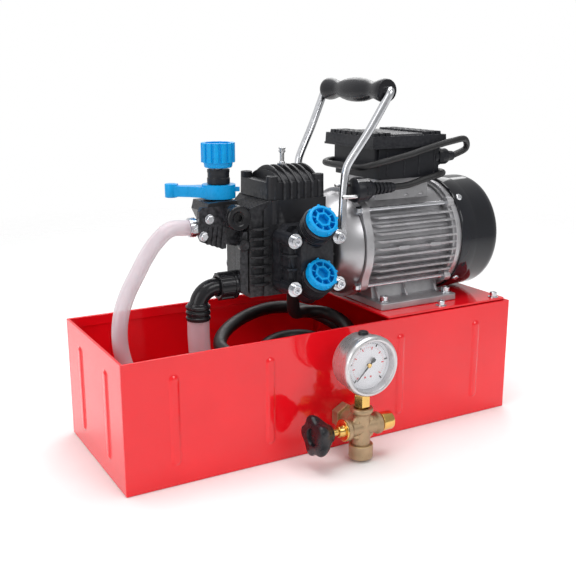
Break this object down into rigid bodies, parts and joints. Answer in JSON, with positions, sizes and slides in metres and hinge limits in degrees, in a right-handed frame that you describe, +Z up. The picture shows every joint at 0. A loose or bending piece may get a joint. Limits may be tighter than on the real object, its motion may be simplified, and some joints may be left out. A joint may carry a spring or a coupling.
{
  "type": "electric hydrostatic test pump",
  "caption": "Motor-driven twin-diaphragm pressure-test pump on an open sheet-metal water tank, with gauge and valve cross, carry handle, hoses and mains lead.",
  "frame": {"origin": "centre of the tank's underside", "axes": "+X along the tank towards the motor's fan end, -Y is the gauge side, +Z up"},
  "size_m": [0.4922, 0.2461, 0.3977],
  "materials": {
    "red_paint": "glossy powder coat",
    "aluminium_casting": "die-cast, satin",
    "zinc_steel": "bright zinc plate",
    "bright_steel": "machined",
    "winding_copper": "varnished windings",
    "black_gloss_plastic": "glossy moulding",
    "black_plastic": "satin moulding",
    "pump_casting": "dark satin casting",
    "blue_plastic": "satin moulding",
    "black_rubber": "matt",
    "brass": "cast and machined",
    "clear_hose": "clear flexible tube",
    "gauge_window": "clear",
    "white_dial": "printed dial"
  },
  "bodies": {
    "base": {"tank": "red_paint", "deck_plate": "red_paint", "motor_frame": "aluminium_casting", "foot_bolt_1": "zinc_steel", "foot_bolt_2": "zinc_steel", "foot_bolt_3": "zinc_steel", "foot_bolt_4": "zinc_steel", "drive_end_shield": "aluminium_casting", "rear_end_shield": "aluminium_casting", "tie_rod_1": "zinc_steel", "tie_rod_2": "zinc_steel", "tie_rod_3": "zinc_steel", "tie_rod_4": "zinc_steel", "front_bearing": "bright_steel", "rear_bearing": "bright_steel", "stator_core": "winding_copper", "fan_cover": "black_gloss_plastic", "terminal_box": "black_plastic", "terminal_box_lid": "black_plastic", "run_capacitor": "aluminium_casting", "cable_gland": "black_plastic", "power_plug": "black_plastic", "crankcase": "pump_casting", "top_cover": "pump_casting", "air_valve": "bright_steel", "front_head": "black_plastic", "front_suction_cap": "blue_plastic", "front_delivery_cap": "blue_plastic", "rear_head": "black_plastic", "rear_suction_cap": "blue_plastic", "rear_delivery_cap": "blue_plastic", "control_body": "black_plastic", "knob_sleeve": "black_plastic", "port_plug": "black_plastic", "union_nut": "black_plastic", "suction_elbow": "black_plastic", "suction_strainer": "black_plastic", "return_barb": "zinc_steel", "outlet_fitting": "brass", "brass_cross": "brass", "valve_bonnet": "brass", "gauge_case": "bright_steel", "gauge_glass": "gauge_window", "gauge_dial": "white_dial", "handle_frame": "zinc_steel", "handle_grip": "black_rubber", "suction_hose": "clear_hose", "return_hose": "clear_hose", "delivery_hose": "black_rubber", "power_cable": "black_rubber"},
    "rotor": {"rotor_shaft": "bright_steel", "cooling_fan": "black_gloss_plastic"},
    "front_diaphragm": {"front_piston": "black_rubber"},
    "rear_diaphragm": {"rear_piston": "black_rubber"},
    "regulator": {"regulator_spindle": "bright_steel"},
    "pressure_knob": {"pressure_knob": "blue_plastic"},
    "bypass_lever": {"bypass_lever": "blue_plastic"},
    "valve_stem": {"valve_spindle": "bright_steel"},
    "star_knob": {"star_knob": "black_plastic"},
    "gauge_pointer": {"gauge_needle": "black_plastic"}
  },
  "joints": [
    {"name": "rotor_spin", "type": "hinge", "parent": "base", "child": "rotor", "pos_m": [0, 0, 0.2105], "axis": [1, 0, 0], "continuous": true},
    {"name": "front_diaphragm_stroke", "type": "slide", "parent": "base", "child": "front_diaphragm", "axis": [0, -1, 0], "range_m": [-0.0025, 0.0025], "stiffness_N_per_m": 800},
    {"name": "rear_diaphragm_stroke", "type": "slide", "parent": "base", "child": "rear_diaphragm", "axis": [0, 1, 0], "range_m": [-0.0025, 0.0025], "stiffness_N_per_m": 800},
    {"name": "regulator_travel", "type": "slide", "parent": "base", "child": "regulator", "axis": [0, 0, 1], "range_m": [0, 0.0045]},
    {"name": "pressure_knob_turn", "type": "hinge", "parent": "regulator", "child": "pressure_knob", "pos_m": [-0.0965, 0, 0.304], "axis": [0, 0, 1], "range_deg": [0, 1083]},
    {"name": "bypass_lever_swing", "type": "hinge", "parent": "base", "child": "bypass_lever", "pos_m": [-0.0965, 0, 0.2733], "axis": [0, 0, 1], "range_deg": [0, 90]},
    {"name": "valve_stem_travel", "type": "slide", "parent": "base", "child": "valve_stem", "axis": [-1, 0, 0], "range_m": [0, 0.0045]},
    {"name": "star_knob_turn", "type": "hinge", "parent": "valve_stem", "child": "star_knob", "pos_m": [-0.033, -0.13, 0.0374], "axis": [-1, 0, 0], "range_deg": [0, 1083]},
    {"name": "gauge_pointer_turn", "type": "hinge", "parent": "base", "child": "gauge_pointer", "pos_m": [0.005, -0.143, 0.1093], "axis": [0, 1, 0], "range_deg": [0, 270], "stiffness_Nm_per_rad": 0.00001}
  ],
  "couplings": [
    {"joint": "pressure_knob_turn", "follows": "regulator_travel", "rad_per_m": 4188.8},
    {"joint": "star_knob_turn", "follows": "valve_stem_travel", "rad_per_m": 4188.8}
  ]
}
